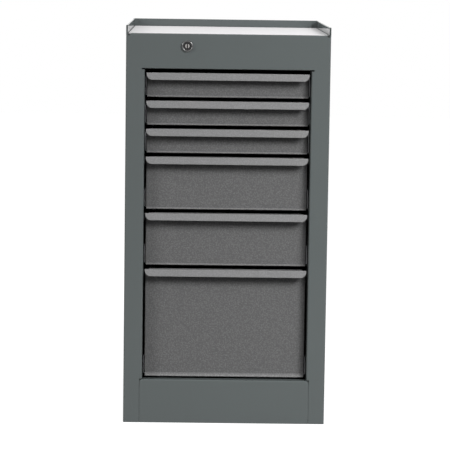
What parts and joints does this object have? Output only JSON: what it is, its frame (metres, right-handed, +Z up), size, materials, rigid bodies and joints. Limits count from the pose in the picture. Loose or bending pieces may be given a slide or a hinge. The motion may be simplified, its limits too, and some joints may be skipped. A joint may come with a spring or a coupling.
{
  "type": "side drawer cabinet",
  "caption": "Narrow steel side cabinet with a lipped tray on top, a stack of recessed drawers with full-width pulls, a key lock and a kick panel.",
  "frame": {"origin": "bottom centre of the whole cabinet, lock bezel and rivet heads included", "axes": "+X to the right seen from the front, +Y to the back, +Z up"},
  "size_m": [0.381, 0.4622, 0.75],
  "materials": {
    "case_paint": "satin grey-green powder coat",
    "drawer_paint": "textured charcoal powder coat",
    "pull_paint": "smooth mid-grey powder coat",
    "zinc_steel": "bright zinc plate",
    "bracket_paint": "grey powder coat",
    "mat_foam": "pale fine-textured mat",
    "lock_black": "gloss black",
    "lock_steel": "satin nickel"
  },
  "bodies": {
    "cabinet": {"left_side_panel": "case_paint", "right_side_panel": "case_paint", "back_panel": "case_paint", "top_panel": "case_paint", "bottom_panel": "case_paint", "top_rail": "case_paint", "bottom_rail": "case_paint", "left_front_upright": "bracket_paint", "left_rear_upright": "bracket_paint", "right_front_upright": "bracket_paint", "right_rear_upright": "bracket_paint", "left_cabinet_rails": "zinc_steel", "right_cabinet_rails": "zinc_steel", "top_mat": "mat_foam", "back_rivets": "zinc_steel", "lock_housing": "lock_black", "lock_nut": "zinc_steel", "rod_bracket": "bracket_paint", "lock_bar_guides": "bracket_paint"},
    "drawer_1": {"drawer_1_box": "drawer_paint", "drawer_1_front": "drawer_paint", "drawer_1_pull": "pull_paint", "drawer_1_rails": "zinc_steel", "drawer_1_lock_catch": "zinc_steel"},
    "drawer_2": {"drawer_2_box": "drawer_paint", "drawer_2_front": "drawer_paint", "drawer_2_pull": "pull_paint", "drawer_2_rails": "zinc_steel", "drawer_2_lock_catch": "zinc_steel"},
    "drawer_3": {"drawer_3_box": "drawer_paint", "drawer_3_front": "drawer_paint", "drawer_3_pull": "pull_paint", "drawer_3_rails": "zinc_steel", "drawer_3_lock_catch": "zinc_steel"},
    "drawer_4": {"drawer_4_box": "drawer_paint", "drawer_4_front": "drawer_paint", "drawer_4_pull": "pull_paint", "drawer_4_rails": "zinc_steel", "drawer_4_lock_catch": "zinc_steel"},
    "drawer_5": {"drawer_5_box": "drawer_paint", "drawer_5_front": "drawer_paint", "drawer_5_pull": "pull_paint", "drawer_5_rails": "zinc_steel", "drawer_5_lock_catch": "zinc_steel"},
    "drawer_6": {"drawer_6_box": "drawer_paint", "drawer_6_front": "drawer_paint", "drawer_6_pull": "pull_paint", "drawer_6_rails": "zinc_steel", "drawer_6_lock_catch": "zinc_steel"},
    "middle_rails_1": {"drawer_1_middle_rails": "zinc_steel"},
    "middle_rails_2": {"drawer_2_middle_rails": "zinc_steel"},
    "middle_rails_3": {"drawer_3_middle_rails": "zinc_steel"},
    "middle_rails_4": {"drawer_4_middle_rails": "zinc_steel"},
    "middle_rails_5": {"drawer_5_middle_rails": "zinc_steel"},
    "middle_rails_6": {"drawer_6_middle_rails": "zinc_steel"},
    "lock_cylinder": {"lock_plug": "lock_steel", "rod_pin": "zinc_steel", "lock_rod": "zinc_steel"},
    "lock_bar": {"lock_bar": "zinc_steel", "lock_hooks": "zinc_steel"}
  },
  "joints": [
    {"name": "drawer_1_slide", "type": "slide", "parent": "cabinet", "child": "drawer_1", "axis": [0, -1, 0], "range_m": [0, 0.38]},
    {"name": "drawer_2_slide", "type": "slide", "parent": "cabinet", "child": "drawer_2", "axis": [0, -1, 0], "range_m": [0, 0.38]},
    {"name": "drawer_3_slide", "type": "slide", "parent": "cabinet", "child": "drawer_3", "axis": [0, -1, 0], "range_m": [0, 0.38]},
    {"name": "drawer_4_slide", "type": "slide", "parent": "cabinet", "child": "drawer_4", "axis": [0, -1, 0], "range_m": [0, 0.38]},
    {"name": "drawer_5_slide", "type": "slide", "parent": "cabinet", "child": "drawer_5", "axis": [0, -1, 0], "range_m": [0, 0.38]},
    {"name": "drawer_6_slide", "type": "slide", "parent": "cabinet", "child": "drawer_6", "axis": [0, -1, 0], "range_m": [0, 0.38]},
    {"name": "middle_rails_1_slide", "type": "slide", "parent": "cabinet", "child": "middle_rails_1", "axis": [0, -1, 0], "range_m": [0, 0.19]},
    {"name": "middle_rails_2_slide", "type": "slide", "parent": "cabinet", "child": "middle_rails_2", "axis": [0, -1, 0], "range_m": [0, 0.19]},
    {"name": "middle_rails_3_slide", "type": "slide", "parent": "cabinet", "child": "middle_rails_3", "axis": [0, -1, 0], "range_m": [0, 0.19]},
    {"name": "middle_rails_4_slide", "type": "slide", "parent": "cabinet", "child": "middle_rails_4", "axis": [0, -1, 0], "range_m": [0, 0.19]},
    {"name": "middle_rails_5_slide", "type": "slide", "parent": "cabinet", "child": "middle_rails_5", "axis": [0, -1, 0], "range_m": [0, 0.19]},
    {"name": "middle_rails_6_slide", "type": "slide", "parent": "cabinet", "child": "middle_rails_6", "axis": [0, -1, 0], "range_m": [0, 0.19]},
    {"name": "lock_bar_lift", "type": "slide", "parent": "cabinet", "child": "lock_bar", "axis": [0, 0, 1], "range_m": [0, 0.01131]},
    {"name": "lock_turn", "type": "hinge", "parent": "cabinet", "child": "lock_cylinder", "pos_m": [-0.0766, 0, 0.7123], "axis": [0, 1, 0], "range_deg": [0, 90]}
  ],
  "couplings": [
    {"joint": "middle_rails_1_slide", "follows": "drawer_1_slide", "ratio": 0.5},
    {"joint": "middle_rails_2_slide", "follows": "drawer_2_slide", "ratio": 0.5},
    {"joint": "middle_rails_3_slide", "follows": "drawer_3_slide", "ratio": 0.5},
    {"joint": "middle_rails_4_slide", "follows": "drawer_4_slide", "ratio": 0.5},
    {"joint": "middle_rails_5_slide", "follows": "drawer_5_slide", "ratio": 0.5},
    {"joint": "middle_rails_6_slide", "follows": "drawer_6_slide", "ratio": 0.5},
    {"joint": "lock_turn", "follows": "lock_bar_lift", "rad_per_m": 138.84}
  ]
}
